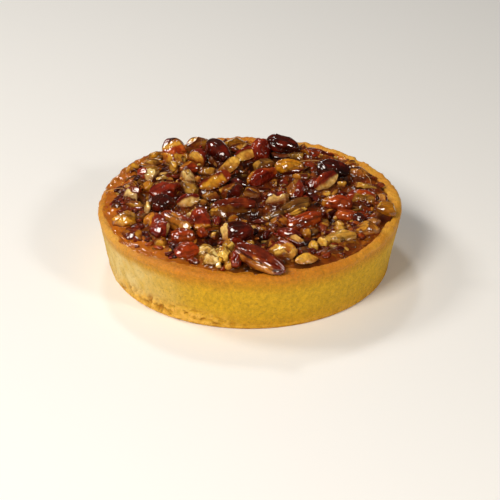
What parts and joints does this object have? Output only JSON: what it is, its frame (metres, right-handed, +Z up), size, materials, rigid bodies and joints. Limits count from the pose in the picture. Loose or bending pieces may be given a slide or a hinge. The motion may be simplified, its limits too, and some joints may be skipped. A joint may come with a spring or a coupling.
{
  "type": "pecan pie",
  "caption": "Deep straight-sided pastry case filled with caramel and heaped with broken pecans, ready to slice and serve.",
  "frame": {"origin": "centre of the underside of the pastry case, on the surface it rests on", "axes": "+Z up through the middle of the tart, +X to its right and +Y to its back as it is served"},
  "size_m": [0.152, 0.152, 0.041],
  "materials": {
    "pastry": "baked golden shortcrust, browned rim",
    "caramel": "glossy amber-brown caramel",
    "pecan_skin": "glazed red-brown pecan skin",
    "pecan_flesh": "glazed cream-yellow broken pecan"
  },
  "bodies": {
    "root": {"pastry_case": "pastry", "caramel_filling": "caramel", "pecan_front_half": "pecan_skin", "pecan_back_dome": "pecan_skin", "pecan_back_top": "pecan_skin", "pecan_back_red": "pecan_skin", "pecan_back_knob": "pecan_flesh", "pecan_back_curl": "pecan_flesh", "pecan_back_cream": "pecan_skin", "pecan_slice_long": "pecan_flesh", "pecan_slice_upper": "pecan_flesh", "pecan_oval_split": "pecan_flesh", "pecan_right_dark": "pecan_skin", "pecan_right_slice": "pecan_skin", "pecan_right_orange": "pecan_skin", "pecan_right_cup": "pecan_skin", "pecan_right_sliver": "pecan_flesh", "pecan_right_lobe": "pecan_skin", "pecan_right_rim": "pecan_flesh", "pecan_right_amber": "pecan_skin", "pecan_broken_back": "pecan_skin", "pecan_ridge_upright": "pecan_skin", "pecan_ridge_tan": "pecan_flesh", "pecan_ridge_orange": "pecan_skin", "pecan_ridge_brown": "pecan_skin", "pecan_middle_edge": "pecan_skin", "pecan_middle_grey": "pecan_flesh", "pecan_middle_orange": "pecan_skin", "pecan_back_flat": "pecan_skin", "pecan_right_flat": "pecan_skin", "pecan_centre_long": "pecan_skin", "pecan_centre_tan": "pecan_flesh", "pecan_left_maroon": "pecan_skin", "pecan_left_dark": "pecan_skin", "pecan_left_crescent": "pecan_flesh", "pecan_left_amber": "pecan_skin", "pecan_left_white": "pecan_flesh", "pecan_left_back": "pecan_skin", "pecan_left_cream": "pecan_flesh", "pecan_left_bright": "pecan_flesh", "pecan_left_double": "pecan_flesh", "pecan_left_long": "pecan_skin", "pecan_left_mixed": "pecan_flesh", "pecan_left_shine": "pecan_skin", "pecan_front_orange": "pecan_skin", "pecan_front_brown": "pecan_skin", "pecan_front_red": "pecan_skin", "pecan_centre_shine": "pecan_flesh", "pecan_centre_dark": "pecan_skin", "pecan_front_rim": "pecan_skin", "pecan_cluster_front": "pecan_flesh", "pecan_cluster_right": "pecan_flesh", "pecan_front_small": "pecan_skin", "pecan_front_lobed": "pecan_flesh", "pecan_front_dark": "pecan_skin", "pecan_front_oval": "pecan_flesh", "pecan_front_cream": "pecan_flesh", "pecan_back_rough": "pecan_flesh"}
  },
  "joints": []
}
